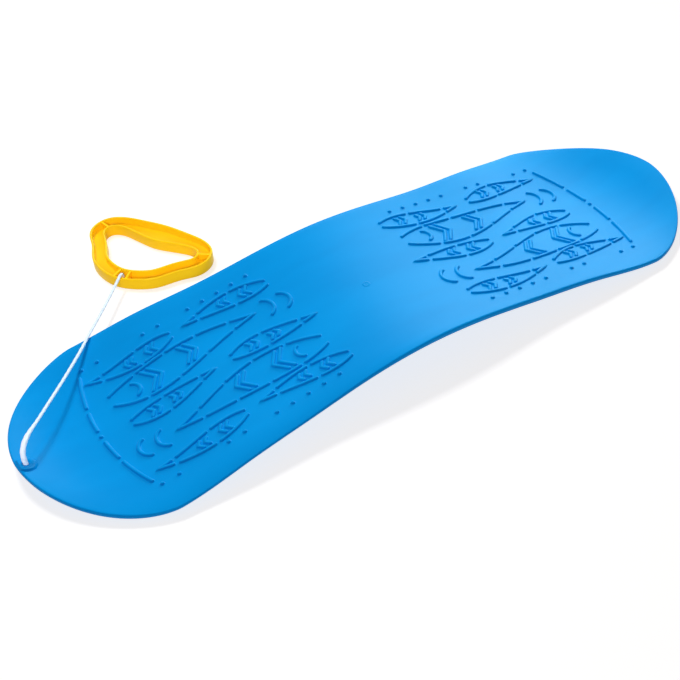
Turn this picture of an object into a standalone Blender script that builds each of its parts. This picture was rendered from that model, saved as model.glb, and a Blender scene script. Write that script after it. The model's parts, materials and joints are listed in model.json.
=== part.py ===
"""A plastic snowboard for children: one moulded deck, and a pull cord knotted to the nose and to a grip handle.

Metres, +Z up. The deck lies along X with its nose at -X, and its middle is at the origin.
"""

import math

import bmesh
import bpy
import numpy as np
from mathutils import Matrix, Vector

# Deck plate
NOSE_REACH = 0.3593  # from the middle to the nose's tip
TAIL_REACH = 0.3645
END_REACH = 0.0990  # from the widest line to the tip
WAIST_HALF_WIDTH = 0.1049
NOSE_HALF_WIDTH = 0.1160  # half the width at the nose's widest line
TAIL_HALF_WIDTH = 0.1144
PLATE = 0.0032  # thickness of the moulding
RIM_DEPTH = 0.0050  # the edge is turned down, to this far below the top
RIM_WIDTH = 0.0026
EDGE_ROUND = 0.0024
EDGE_RISE = 0.0079  # the dish: how far the nose's sides stand above the centre line
CONTACT_AT = 0.2834  # where the base touches the ground, from the middle
ARCH_RISE = 0.0327  # how far the middle stands above the contact
TIP_RISE = 0.0195  # how far the tips stand above the contact
GATE_RISE = 0.0004  # the moulding mark at the middle stands this proud, and its top is the origin
GATE_RADIUS = 0.0035
ARCH_SHAPE = [(0, 0), (0.229, 0.138), (0.457, 0.418), (0.686, 0.658), (0.857, 0.912), (1, 1)]
LIFT_SHAPE = [(0.496, 0.262), (1, 1)]  # from the contact to the tip: shares of the way and of the rise
NOSE_EASE = 1.40  # a higher value keeps the waist narrow for longer
TAIL_EASE = 1.87
TIP_ROUND = (1.24, 1.09)  # powers of the tip's sine and cosine, 1 and 1 for a plain ellipse

# Keels under the deck
KEEL_AT = 0.040  # from the centre line
KEEL_DEPTH = 0.0022
KEEL_WIDTH = 0.0060
KEEL_HALF_LENGTH = 0.318
KEEL_FLAT = 0.010  # half the length of the flat on which each keel rests

# Raised tread on the deck
RIB_HEIGHT = 0.0018
RIB_WIDTH = 0.0034
RIB_CREST = 0.0020
RIB_ROOT = 0.0012  # how deep ribs and studs are sunk in the plate
RIB_STEP = 0.014  # longest straight piece of a rib
STUD_PITCH = 0.016194
STUD_RADIUS = 0.0022
STUD_ROW_AT = 0.0839  # from the centre line
STUD_ROW_END = 0.2632  # the outermost stud, from the middle
STUDS_IN_ROW = (0, 1, 4, 5, 7, 8, 9, 10, 11)
ARC_CENTRE_AT = 0.0620
ARC_RADIUS = 0.2200
ARC_DASHES = ((2.15, 8.25), (10.25, 20.0))  # degrees from the centre line
LEAVES = [  # blunt end from the middle, and sideways; length, less than 0 towards the middle; half the width
    (0.0640, 0.0345, 0.1600, 0.0180),
    (0.2640, -0.0345, -0.1600, 0.0180),
    (0.0600, 0.0655, 0.0920, 0.0095),
    (0.1660, 0.0655, 0.0920, 0.0095),
    (0.1500, 0.0000, -0.0900, 0.0095),
    (0.2560, 0.0000, -0.0900, 0.0095),
    (0.0700, -0.0655, 0.0920, 0.0095),
    (0.1740, -0.0655, 0.0920, 0.0095),
]
LEAF_FULLNESS = 0.70  # below 1 moves the widest place towards the blunt end
LEAF_MOUTH = 0.05  # the blunt end is open, as a share of the length
LEAF_POINT = 0.87  # where the closed point begins
DASH_LENGTH = 0.0260
DASH_GAP = 0.0060
CHEVRONS_AT = (0.31, 0.56)  # along a leaf
CHEVRON_STEP = 0.0066  # between the two bars of a pair
CHEVRON_SLANT = 0.70
CHEVRON_CLEAR = 0.0041  # from a chevron's end to the leaf's side
CRESCENT_RADIUS = 0.0085
CRESCENT_AT = 0.17
CRESCENT_LEAST = 0.012  # narrower leaves have no crescent
LOOSE_CRESCENTS = [  # middle of the circle, and radius, less than 0 where the crescent opens to the tip
    (0.2330, 0.0345, 0.0120),
    (0.2500, 0.0345, 0.0120),
    (0.0780, -0.0345, -0.0120),
    (0.0950, -0.0345, -0.0120),
]
CRESCENT_TURN = 66  # degrees to either side
FLOW = 0.0038  # the whole tread swings sideways this much
FLOW_LENGTH = 0.1800

# Cord hole in the nose
NOSE_HOLE_INSET = 0.0085  # from the tip
NOSE_HOLE_SIDE = -0.0042
NOSE_HOLE = (NOSE_HOLE_INSET - NOSE_REACH, NOSE_HOLE_SIDE)
NOSE_HOLE_RADIUS = 0.0028
BOSS_RADIUS = 0.0085
BOSS_HEIGHT = 0.0018
BOSS_RIM = 0.0026  # the boss stays this far inside the deck's edge

# Pull handle, flat on the ground beside the deck
HANDLE_HEIGHT = 0.0130
HANDLE_WALL = 0.0024
WEB_BOTTOM = 0.0038
WEB_THICKNESS = 0.0018
HANDLE_OUTLINE = [  # half of it: towards the grip, sideways, and the bar's width there
    (-0.0546, 0.0000, 0.0159),
    (-0.0498, 0.0221, 0.0159),
    (-0.0390, 0.0397, 0.0158),
    (-0.0195, 0.0552, 0.0157),
    (-0.0058, 0.0680, 0.0159),
    (0.0075, 0.0719, 0.0160),
    (0.0246, 0.0657, 0.0162),
    (0.0335, 0.0499, 0.0168),
    (0.0370, 0.0277, 0.0214),
    (0.0390, 0.0000, 0.0267),
]
HANDLE_STEPS = 3  # facets between two points of the outline
HANDLE_HOLE_SIDE = -0.20  # place of the cord's hole past the front of the outline, in its points
POCKET_HALF = 0.33  # from the hole to the ribs beside it, in points of the outline
CORNER_RIB = 5.5  # place of the corner ribs, in points of the outline
HANDLE_RIB = 0.0022
HANDLE_RIB_DROP = 0.0004  # ribs stop this far inside the walls' edges
HANDLE_HOLE_RADIUS = 0.0018
HANDLE_PLACE = (-0.1719, 0.1865)  # the cord's hole on the ground beside the deck
HANDLE_TURN = 29.2  # degrees

# Pull cord
CORD_RADIUS = 0.0014
SPLICE_RADIUS = 0.0023  # the doubled end at the nose
CORD_ROUTE = [  # from the knot under the nose to the knot under the handle
    (-0.3508, -0.0042, -0.0234),
    (-0.3508, -0.0042, -0.0172),
    (-0.3508, -0.0042, -0.0110),
    (-0.3500, -0.0033, -0.0060),
    (-0.3474, -0.0005, -0.0022),
    (-0.3429, 0.0044, -0.0003),
    (-0.3371, 0.0108, -0.0008),
    (-0.3289, 0.0195, -0.0031),
    (-0.3133, 0.0364, -0.0072),
    (-0.2894, 0.0620, -0.0128),
    (-0.2650, 0.0884, -0.0176),
    (-0.2487, 0.1060, -0.0197),
    (-0.2396, 0.1158, -0.0200),
    (-0.2312, 0.1244, -0.0206),
    (-0.2120, 0.1441, -0.0218),
    (-0.1925, 0.1646, -0.0226),
    (-0.1827, 0.1751, -0.0226),
    (-0.1766, 0.1813, -0.0225),
    (-0.1733, 0.1850, -0.0243),
    (-0.1719, 0.1865, -0.0298),
    (-0.1719, 0.1865, -0.0337),
]
SPLICE_POINTS = 7  # points of the route that the doubled end covers
ROUTE_STEPS = 3
TOUCH = 0.0003  # gap between pieces that touch
NOSE_KNOT_RADIUS = 0.0046
NOSE_KNOT_HEIGHT = 0.0068
HANDLE_KNOT_RADIUS = 0.0038
HANDLE_KNOT_HEIGHT = 0.0033
KNOT_SIDES = 12
KNOT_RINGS = 5

BLUE = (0.02, 0.30, 0.87)
YELLOW = (1.0, 0.62, 0.01)
WHITE = (0.86, 0.87, 0.88)


def clear_scene():
    for item in list(bpy.data.objects):
        bpy.data.objects.remove(item)


def plastic(name, colour, roughness):
    material = bpy.data.materials.new(name)
    material.use_nodes = True
    shader = material.node_tree.nodes["Principled BSDF"]
    shader.inputs["Base Color"].default_value = (*colour, 1)
    shader.inputs["Roughness"].default_value = roughness
    shader.inputs["Metallic"].default_value = 0
    return material


def smooth_curve(points, steps):
    """Points on a natural cubic spline through the given ones, with this many steps from each to the next."""
    points = np.asarray(points, float)
    count = len(points)
    lengths = np.linalg.norm(np.diff(points, axis=0), axis=1)
    system = np.eye(count)
    target = np.zeros_like(points)
    for i in range(1, count - 1):
        before, after = lengths[i - 1], lengths[i]
        system[i, i - 1 : i + 2] = before, 2 * (before + after), after
        slopes = (points[i + 1] - points[i]) / after - (points[i] - points[i - 1]) / before
        target[i] = 6 * slopes
    bends = np.linalg.solve(system, target)
    curve = []
    for i in range(count - 1):
        span = lengths[i]
        for step in range(steps):
            t = step / steps
            s = 1 - t
            straight = s * points[i] + t * points[i + 1]
            curve.append(straight + ((s**3 - s) * bends[i] + (t**3 - t) * bends[i + 1]) * span**2 / 6)
    curve.append(points[-1])
    return np.array(curve)


def mirrored_profile():
    """The centre line's profile, fine enough to read heights from, and level at the middle."""
    tip_at = max(NOSE_REACH, TAIL_REACH)
    half = [(CONTACT_AT * along, -ARCH_RISE * down) for along, down in ARCH_SHAPE]
    half += [(CONTACT_AT + (tip_at - CONTACT_AT) * along, TIP_RISE * up - ARCH_RISE) for along, up in LIFT_SHAPE]
    other = [(-x, z) for x, z in reversed(half[1:])]
    return smooth_curve(other + half, 24)


PROFILE_CURVE = mirrored_profile()


def deck_height(x, y):
    """The deck's top surface above a point of the plan."""
    along = np.interp(x, PROFILE_CURVE[:, 0], PROFILE_CURVE[:, 1])
    return float(along + EDGE_RISE * (y / NOSE_HALF_WIDTH) ** 2 - GATE_RISE)


def half_outline(reach, half_width, ease):
    """From the waist to one tip: distance from the middle, and half the width there."""
    widest_at = reach - END_REACH
    side_steps = 14
    end_steps = 12
    outline = []
    for i in range(side_steps):
        share = i / side_steps
        swell = (1 - math.cos(math.pi * share**ease)) / 2
        outline.append((share * widest_at, WAIST_HALF_WIDTH + swell * (half_width - WAIST_HALF_WIDTH)))
    for i in range(end_steps):
        turn = i / end_steps * math.pi / 2
        x = widest_at + END_REACH * math.sin(turn) ** TIP_ROUND[0]
        outline.append((x, half_width * math.cos(turn) ** TIP_ROUND[1]))
    outline.append((reach, 0.0))
    return outline


def deck_side():
    """The deck's left edge in plan, from the nose's tip to the tail's tip."""
    nose = half_outline(NOSE_REACH, NOSE_HALF_WIDTH, NOSE_EASE)
    tail = half_outline(TAIL_REACH, TAIL_HALF_WIDTH, TAIL_EASE)
    return np.array([(-x, w) for x, w in reversed(nose)] + tail[1:])


DECK_SIDE = deck_side()


def half_width_at(x):
    return float(np.interp(x, DECK_SIDE[:, 0], DECK_SIDE[:, 1]))


def mesh_object(name, vertices, faces, material=None):
    mesh = bpy.data.meshes.new(name)
    mesh.from_pydata([tuple(map(float, v)) for v in vertices], [], faces)
    shape = bmesh.new()
    shape.from_mesh(mesh)
    bmesh.ops.recalc_face_normals(shape, faces=shape.faces)
    shape.to_mesh(mesh)
    shape.free()
    if material:
        mesh.materials.append(material)
    made = bpy.data.objects.new(name, mesh)
    bpy.context.collection.objects.link(made)
    return made


def helper(made):
    """Keeps an object that only shapes another one out of the model."""
    made.hide_render = True
    made.display_type = "WIRE"
    return made


def combine(target, other, operation):
    modifier = target.modifiers.new(other.name, "BOOLEAN")
    modifier.operation = operation
    modifier.solver = "EXACT"
    modifier.object = helper(other)
    return modifier


def rim_section():
    """The turned-down edge, from the deck's top to its underside: steps inward from the outline and down."""
    half_way = EDGE_ROUND * (1 - math.sin(math.pi / 4))
    return [
        (EDGE_ROUND, 0),
        (half_way, half_way),
        (0, EDGE_ROUND),
        (0, RIM_DEPTH),
        (RIM_WIDTH, RIM_DEPTH),
        (RIM_WIDTH, PLATE),
    ]


def plate_mesh():
    """The curved plate: loops of points round its edge, and rows across its top and its underside."""
    across = 8
    run = np.gradient(DECK_SIDE, axis=0)
    inward = np.column_stack([run[:, 1], -run[:, 0]]) / np.linalg.norm(run, axis=1, keepdims=True)
    inward[0] = (1, 0)
    inward[-1] = (-1, 0)
    count = len(DECK_SIDE)
    vertices = []
    loops = []
    for reach, down in rim_section():
        left = DECK_SIDE + inward * reach
        loop = np.vstack([left, left[-2:0:-1] * (1, -1)])
        loops.append([len(vertices) + i for i in range(len(loop))])
        vertices += [(x, y, deck_height(x, y) - down) for x, y in loop]
    faces = []
    size = len(loops[0])
    for upper, lower in zip(loops, loops[1:]):
        faces += [[upper[i], upper[(i + 1) % size], lower[(i + 1) % size], lower[i]] for i in range(size)]
    for loop, down in ((loops[0], 0), (loops[-1], PLATE)):
        rows = []
        for i in range(count):
            left, right = loop[i], loop[-i % size]
            if left == right:
                rows.append([left] * (across + 1))
                continue
            start, end = np.array(vertices[left][:2]), np.array(vertices[right][:2])
            row = [left]
            for j in range(1, across):
                x, y = start + (end - start) * j / across
                row.append(len(vertices))
                vertices.append((x, y, deck_height(x, y) - down))
            rows.append(row + [right])
        for near, far in zip(rows, rows[1:]):
            for j in range(across):
                faces.append(list(dict.fromkeys([near[j], near[j + 1], far[j + 1], far[j]])))
    return vertices, faces


def rib_mesh(path, vertices, faces):
    """Adds one raised bar along a path of the plan, wide at its foot and narrow at its crest."""
    path = np.asarray(path, float)
    first = len(vertices)
    for i, here in enumerate(path):
        before = path[max(i - 1, 0)]
        after = path[min(i + 1, len(path) - 1)]
        run = after - before
        side = np.array([-run[1], run[0]]) / np.hypot(*run)
        if 0 < i < len(path) - 1:
            leg = here - before
            lean = abs(np.dot(side, np.array([-leg[1], leg[0]]) / np.hypot(*leg)))
            side = side / max(lean, 0.5)
        for width, rise in ((RIB_WIDTH, -RIB_ROOT), (RIB_CREST, RIB_HEIGHT)):
            for way in (-1, 1):
                x, y = here + way * side * width / 2
                vertices.append((x, y, deck_height(x, y) + rise))
    for i in range(len(path) - 1):
        a = first + 4 * i
        b = a + 4
        faces += [[a, a + 1, b + 1, b], [a + 2, b + 2, b + 3, a + 3]]
        faces += [[a, b, b + 2, a + 2], [a + 1, a + 3, b + 3, b + 1]]
    last = first + 4 * (len(path) - 1)
    faces.append([first, first + 2, first + 3, first + 1])
    faces.append([last, last + 1, last + 3, last + 2])


def patch_mesh(centre, radius, height, sides, vertices, faces, level=None):
    """Adds a round raised patch that stays inside the deck's edge. Its top follows the deck unless a level is given."""
    first = len(vertices)
    for i in range(sides):
        turn = 2 * math.pi * i / sides
        x = centre[0] + radius * math.cos(turn)
        x = min(max(x, BOSS_RIM - NOSE_REACH), TAIL_REACH - BOSS_RIM)
        room = half_width_at(x) - BOSS_RIM
        y = centre[1] + radius * math.sin(turn)
        y = min(max(y, -room), room)
        vertices.append((x, y, deck_height(x, y) - RIB_ROOT))
        vertices.append((x, y, deck_height(x, y) + height if level is None else level))
    lower = [first + 2 * i for i in range(sides)]
    upper = [i + 1 for i in lower]
    faces += [lower, upper]
    for i in range(sides):
        j = (i + 1) % sides
        faces.append([lower[i], lower[j], upper[j], upper[i]])


def flow(x):
    """How far the tread swings sideways at a distance from the middle."""
    return FLOW * math.sin(2 * math.pi * x / FLOW_LENGTH)


def leaf_point(leaf, share, side):
    """A point of one side of a leaf, with share 0 at its blunt end and 1 at its point."""
    x, y, length, half = leaf
    swell = math.sin(math.pi * min(share, 1.0) ** LEAF_FULLNESS)
    x += length * share
    return (x, y + flow(x) + side * half * swell)


def leaf_side(leaf, side):
    """One side of a leaf as dashes of even length with even gaps."""
    length = abs(leaf[2])
    gap = DASH_GAP / length
    room = LEAF_POINT - gap - LEAF_MOUTH
    dashes = max(1, round((room + gap) * length / (DASH_LENGTH + DASH_GAP)))
    share = (room + gap) / dashes
    paths = []
    for i in range(dashes):
        start = LEAF_MOUTH + i * share
        end = start + share - gap
        steps = max(1, math.ceil((end - start) * length / RIB_STEP))
        paths.append([leaf_point(leaf, start + (end - start) * j / steps, side) for j in range(steps + 1)])
    return paths


def chevron(leaf, share, back):
    """One bar across a leaf, bent towards the leaf's point."""
    way = math.copysign(1, leaf[2])
    upper = leaf_point(leaf, share, 1)
    lower = leaf_point(leaf, share, -1)
    half = (upper[1] - lower[1]) / 2 - CHEVRON_CLEAR
    x = upper[0] - way * back
    y = (upper[1] + lower[1]) / 2
    tip = x + way * half * CHEVRON_SLANT
    return [(x, y + half), (tip, y), (x, y - half)]


def crescent(x, y, radius):
    """A part of a ring that opens to the middle, or to the tip where the radius is less than 0."""
    turns = np.radians(np.linspace(-CRESCENT_TURN, CRESCENT_TURN, 6))
    return [(x + radius * math.cos(a), y + flow(x) + abs(radius) * math.sin(a)) for a in turns]


def leaf_paths(leaf):
    x, y, length, half = leaf
    paths = leaf_side(leaf, 1) + leaf_side(leaf, -1)
    paths.append([leaf_point(leaf, LEAF_POINT, 1), leaf_point(leaf, 1, 0), leaf_point(leaf, LEAF_POINT, -1)])
    for share in CHEVRONS_AT:
        paths += [chevron(leaf, share, back) for back in (0, CHEVRON_STEP)]
    if half > CRESCENT_LEAST:
        paths.append(crescent(x + length * CRESCENT_AT, y, math.copysign(CRESCENT_RADIUS, length)))
    return paths


def arc_paths():
    """Dashes of the arc that closes the tread."""
    paths = []
    for start, end in ARC_DASHES:
        for side in (-1, 1):
            turns = np.radians(np.linspace(start, end, max(2, round((end - start) / 3)))) * side
            paths.append([(ARC_CENTRE_AT + ARC_RADIUS * math.cos(a), ARC_RADIUS * math.sin(a)) for a in turns])
    return paths


def tread():
    """Every rib and stud on the deck. The nose's field is the tail's, turned half round."""
    vertices = []
    faces = []
    paths = [path for leaf in LEAVES for path in leaf_paths(leaf)]
    paths += [crescent(*place) for place in LOOSE_CRESCENTS]
    for path in paths + arc_paths():
        for sign in (1, -1):
            rib_mesh(np.array(path) * sign, vertices, faces)
    studs = [(ARC_CENTRE_AT + ARC_RADIUS, 0.0)]
    studs += [(STUD_ROW_END - k * STUD_PITCH, side * STUD_ROW_AT) for k in STUDS_IN_ROW for side in (-1, 1)]
    for x, y in studs:
        for sign in (1, -1):
            patch_mesh((sign * x, sign * y), STUD_RADIUS, RIB_HEIGHT, 6, vertices, faces)
    patch_mesh(NOSE_HOLE, BOSS_RADIUS, BOSS_HEIGHT, 16, vertices, faces)
    patch_mesh((0, 0), GATE_RADIUS, GATE_RISE, 12, vertices, faces, level=0.0)
    return mesh_object("tread_shapes", vertices, faces)


def ground():
    """Height of the ground: the flats of the keels."""
    return deck_height(CONTACT_AT, KEEL_AT) - PLATE - KEEL_DEPTH


def keel(side):
    """One runner strip under the deck, cut flat where it rests."""
    edges = [CONTACT_AT - KEEL_FLAT, CONTACT_AT + KEEL_FLAT]
    half = sorted(set(np.linspace(0, edges[0], 11).tolist() + edges + [KEEL_HALF_LENGTH]))
    stations = [-x for x in reversed(half[1:])] + half
    vertices = []
    for x in stations:
        inner_end = abs(x) == KEEL_HALF_LENGTH
        under = deck_height(x, side * KEEL_AT) - PLATE
        foot = under if inner_end else under - KEEL_DEPTH
        if edges[0] <= abs(x) <= edges[1]:
            foot = ground()
        for y, z in (
            (KEEL_AT - KEEL_WIDTH / 2, under + RIB_ROOT),
            (KEEL_AT + KEEL_WIDTH / 2, under + RIB_ROOT),
            (KEEL_AT + KEEL_WIDTH / 3, foot),
            (KEEL_AT - KEEL_WIDTH / 3, foot),
        ):
            vertices.append((x, side * y, z))
    faces = [[0, 1, 2, 3]]
    for i in range(len(stations) - 1):
        a = 4 * i
        faces += [[a + j, a + (j + 1) % 4, a + 4 + (j + 1) % 4, a + 4 + j] for j in range(4)]
    last = 4 * (len(stations) - 1)
    faces.append([last, last + 1, last + 2, last + 3])
    return mesh_object("keel_shape", vertices, faces)


def rod(name, radius, low, high, place):
    """An upright round rod, for cutting a bore."""
    made = bmesh.new()
    bmesh.ops.create_cone(
        made,
        cap_ends=True,
        segments=16,
        radius1=radius,
        radius2=radius,
        depth=high - low,
        matrix=Matrix.Translation((place[0], place[1], (low + high) / 2)),
    )
    mesh = bpy.data.meshes.new(name)
    made.to_mesh(mesh)
    made.free()
    rod_object = bpy.data.objects.new(name, mesh)
    bpy.context.collection.objects.link(rod_object)
    return rod_object


def build_deck(material):
    deck = mesh_object("deck", *plate_mesh(), material)
    combine(deck, tread(), "UNION").use_self = True
    for side in (-1, 1):
        combine(deck, keel(side), "UNION")
    top = deck_height(*NOSE_HOLE)
    bore = rod("nose_bore", NOSE_HOLE_RADIUS, top - 3 * PLATE, top + 3 * PLATE, NOSE_HOLE)
    combine(deck, bore, "DIFFERENCE")
    return deck


def handle_loop():
    """The outline all round: place, inward direction and bar width at each point, from the front and once round."""
    half = np.array(HANDLE_OUTLINE)
    back = half[-2:0:-1] * (1, -1, 1)
    loop = np.vstack([half, back])
    wrap = 4
    spread = np.vstack([loop[-wrap:], loop, loop[: wrap + 1]])
    curve = smooth_curve(spread, HANDLE_STEPS * 4)
    return curve, len(loop), wrap * HANDLE_STEPS * 4


HANDLE_CURVE, HANDLE_POINTS, HANDLE_WRAP = handle_loop()


def handle_at(place):
    """Place on the outline, inward direction and bar width, for a place counted in points from the front."""
    steps = HANDLE_STEPS * 4
    where = HANDLE_WRAP + place % HANDLE_POINTS * steps
    i = math.floor(where)
    share = where - i
    row = HANDLE_CURVE[i] * (1 - share) + HANDLE_CURVE[i + 1] * share
    run = HANDLE_CURVE[i + 1, :2] - HANDLE_CURVE[i, :2]
    inward = np.array([run[1], -run[0]]) / np.hypot(*run)
    return row[:2], inward, row[2]


def handle_hole():
    place, inward, bar = handle_at(HANDLE_HOLE_SIDE)
    return place + inward * bar / 2


def handle_section(bar):
    """Cross-section of the bar: two walls joined by a web between two channels, as depth from the outline and height."""
    web_top = WEB_BOTTOM + WEB_THICKNESS
    wall = HANDLE_WALL
    height = HANDLE_HEIGHT
    return [
        (0, 0),
        (0, height),
        (wall, height),
        (wall, web_top),
        (bar - wall, web_top),
        (bar - wall, height),
        (bar, height),
        (bar, 0),
        (bar - wall, 0),
        (bar - wall, WEB_BOTTOM),
        (wall, WEB_BOTTOM),
        (wall, 0),
    ]


def handle_rib(place):
    """A cross rib through both channels at a place on the outline."""
    edge, inward, bar = handle_at(place)
    along = np.array([-inward[1], inward[0]]) * HANDLE_RIB / 2
    near = edge + inward * HANDLE_WALL / 2
    far = edge + inward * (bar - HANDLE_WALL / 2)
    low = HANDLE_RIB_DROP
    high = HANDLE_HEIGHT - HANDLE_RIB_DROP
    corners = [near - along, near + along, far + along, far - along]
    middle = handle_hole()
    vertices = [(*(corner - middle), z) for z in (low, high) for corner in corners]
    faces = [[0, 1, 2, 3], [4, 5, 6, 7]] + [[i, (i + 1) % 4, 4 + (i + 1) % 4, 4 + i] for i in range(4)]
    return mesh_object("handle_rib_shape", vertices, faces)


def build_handle(material, swivel):
    middle = handle_hole()
    vertices = []
    stations = HANDLE_POINTS * HANDLE_STEPS
    for i in range(stations):
        edge, inward, bar = handle_at(i / HANDLE_STEPS)
        for depth, height in handle_section(bar):
            vertices.append((*(edge + inward * depth - middle), height))
    sides = len(handle_section(HANDLE_WALL))
    faces = []
    for i in range(stations):
        here = i * sides
        after = (i + 1) % stations * sides
        for j in range(sides):
            k = (j + 1) % sides
            faces.append([here + j, here + k, after + k, after + j])
    handle = mesh_object("pull_handle", vertices, faces, material)
    handle.parent = swivel
    for place in (HANDLE_HOLE_SIDE - POCKET_HALF, HANDLE_HOLE_SIDE + POCKET_HALF, CORNER_RIB, -CORNER_RIB):
        rib = handle_rib(place)
        rib.parent = swivel
        combine(handle, rib, "UNION")
    bore = rod("handle_bore", HANDLE_HOLE_RADIUS, WEB_BOTTOM - 0.002, WEB_BOTTOM + WEB_THICKNESS + 0.002, (0, 0))
    bore.parent = swivel
    combine(handle, bore, "DIFFERENCE")
    return handle


def knot(name, radius, height, face_radius, place, top, material):
    """A stopper knot as a turned barrel with a flat top, under the hole that it can't pass."""
    rings = []
    for i in range(KNOT_RINGS):
        turn = math.pi * i / (KNOT_RINGS - 1)
        rings.append((face_radius + (radius - face_radius) * math.sin(turn), top - height * (1 - math.cos(turn)) / 2))
    vertices = []
    for ring_radius, z in rings:
        for i in range(KNOT_SIDES):
            turn = 2 * math.pi * i / KNOT_SIDES
            vertices.append((ring_radius * math.cos(turn), ring_radius * math.sin(turn), z - top))
    faces = [list(range(KNOT_SIDES)), list(range(len(vertices) - KNOT_SIDES, len(vertices)))]
    for ring in range(KNOT_RINGS - 1):
        for i in range(KNOT_SIDES):
            a = ring * KNOT_SIDES + i
            b = ring * KNOT_SIDES + (i + 1) % KNOT_SIDES
            faces.append([a, b, b + KNOT_SIDES, a + KNOT_SIDES])
    made = mesh_object(name, vertices, faces, material)
    made.location = (place[0], place[1], top)
    made.data.shade_smooth()
    return made


def build_cord(material):
    curve = bpy.data.curves.new("pull_cord", "CURVE")
    curve.dimensions = "3D"
    curve.bevel_depth = CORD_RADIUS
    curve.bevel_resolution = 2
    curve.use_fill_caps = True
    points = smooth_curve(CORD_ROUTE, ROUTE_STEPS)
    spline = curve.splines.new("POLY")
    spline.points.add(len(points) - 1)
    taper_steps = 2 * ROUTE_STEPS
    splice_end = SPLICE_POINTS * ROUTE_STEPS
    for i, (point, place) in enumerate(zip(spline.points, points)):
        point.co = (*place, 1)
        share = min(max((splice_end - i) / taper_steps, 0), 1)
        point.radius = 1 + share * (SPLICE_RADIUS / CORD_RADIUS - 1)
    curve.materials.append(material)
    cord = bpy.data.objects.new("pull_cord", curve)
    bpy.context.collection.objects.link(cord)
    return cord


def main():
    clear_scene()
    blue = plastic("deck_plastic", BLUE, 0.35)
    yellow = plastic("handle_plastic", YELLOW, 0.30)
    white = plastic("cord_fibre", WHITE, 0.85)
    build_deck(blue)
    swivel = bpy.data.objects.new("handle_swivel", None)
    swivel.location = (*HANDLE_PLACE, ground())
    swivel.rotation_euler = (0, 0, math.radians(HANDLE_TURN))
    bpy.context.collection.objects.link(swivel)
    build_handle(yellow, swivel)
    build_cord(white)
    slope = (deck_height(NOSE_HOLE[0] - PLATE, NOSE_HOLE[1]) - deck_height(*NOSE_HOLE)) / PLATE
    under_nose = deck_height(*NOSE_HOLE) - PLATE - TOUCH - SPLICE_RADIUS * slope
    knot("nose_knot", NOSE_KNOT_RADIUS, NOSE_KNOT_HEIGHT, SPLICE_RADIUS, NOSE_HOLE, under_nose, white)
    under_web = ground() + WEB_BOTTOM - TOUCH
    knot("handle_knot", HANDLE_KNOT_RADIUS, HANDLE_KNOT_HEIGHT, CORD_RADIUS, HANDLE_PLACE, under_web, white)


main()
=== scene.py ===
"""Looks of the plastic snowboard: deck, grip handle and braided pull cord, with floor, lights and camera.

The deck, the handle, the cord and its knots replace their plain CAD solids with finer ones of the same shape.
Edges are rounded here, and the deck's turned-down edge is slimmer away from the middle.
"""

import json
import math

import bmesh
import bpy
import numpy as np
from mathutils import Matrix, Vector


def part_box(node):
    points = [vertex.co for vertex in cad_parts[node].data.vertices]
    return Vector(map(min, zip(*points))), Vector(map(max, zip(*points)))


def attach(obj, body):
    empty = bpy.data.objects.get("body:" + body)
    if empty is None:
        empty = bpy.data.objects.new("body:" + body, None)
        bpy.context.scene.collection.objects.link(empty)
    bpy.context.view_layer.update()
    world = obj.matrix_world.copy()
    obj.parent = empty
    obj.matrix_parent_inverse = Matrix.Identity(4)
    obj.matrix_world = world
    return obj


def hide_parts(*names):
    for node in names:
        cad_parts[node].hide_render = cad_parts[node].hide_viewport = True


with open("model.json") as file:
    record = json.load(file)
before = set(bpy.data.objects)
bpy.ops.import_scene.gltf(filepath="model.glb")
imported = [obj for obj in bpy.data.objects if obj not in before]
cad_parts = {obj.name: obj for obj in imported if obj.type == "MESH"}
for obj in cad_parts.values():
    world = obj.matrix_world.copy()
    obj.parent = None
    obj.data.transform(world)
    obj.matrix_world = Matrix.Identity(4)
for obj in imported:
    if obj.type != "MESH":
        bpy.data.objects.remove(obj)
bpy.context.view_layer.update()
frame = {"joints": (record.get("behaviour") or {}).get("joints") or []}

# Deck, as in the CAD
NOSE_REACH = 0.3593
TAIL_REACH = 0.3645
END_REACH = 0.0990
WAIST_HALF_WIDTH = 0.1049
NOSE_HALF_WIDTH = 0.1160
TAIL_HALF_WIDTH = 0.1144
PLATE = 0.0032
RIM_DEPTH = 0.0050
RIM_WIDTH = 0.0026
EDGE_ROUND = 0.0024
EDGE_RISE = 0.0079
CONTACT_AT = 0.2834
ARCH_RISE = 0.0327
TIP_RISE = 0.0195
GATE_RISE = 0.0004
GATE_RADIUS = 0.0035
ARCH_SHAPE = [(0, 0), (0.229, 0.138), (0.457, 0.418), (0.686, 0.658), (0.857, 0.912), (1, 1)]
LIFT_SHAPE = [(0.496, 0.262), (1, 1)]
NOSE_EASE = 1.40
TAIL_EASE = 1.87
TIP_ROUND = (1.24, 1.09)
KEEL_AT = 0.040
KEEL_DEPTH = 0.0022
KEEL_WIDTH = 0.0060
KEEL_HALF_LENGTH = 0.318

# Deck, finer than the CAD
PROFILE_STEPS = 24
SIDE_STEPS = 70  # from the waist to the widest line
END_STEPS = 60  # from the widest line to the tip
PLATE_ACROSS = 36
EDGE_STEPS = 7
FOOT_STEPS = 3
FOOT_ROUND = 0.0005  # at the lower corners of the turned-down edge
EDGE_SHARES = [  # place along the deck, and the turned-down edge's size there as a share of the middle's
    (-0.360, 0.76),
    (-0.310, 0.80),
    (-0.275, 0.60),
    (-0.245, 0.48),
    (-0.134, 0.46),
    (-0.080, 0.65),
    (-0.026, 0.86),
    (0.017, 1.00),
    (0.160, 1.00),
    (0.280, 0.74),
    (0.340, 0.50),
    (0.365, 0.45),
]
ROLL_WIDTH = 0.020  # the plate bends down over this width where its edge is slim
ROLL_MIDDLE_SHARE = 0.65  # share of the bend on the centre line, rising to 1 on the right side
ROLL_LEFT_SHARE = 0.25  # and falling to this on the left side
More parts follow.
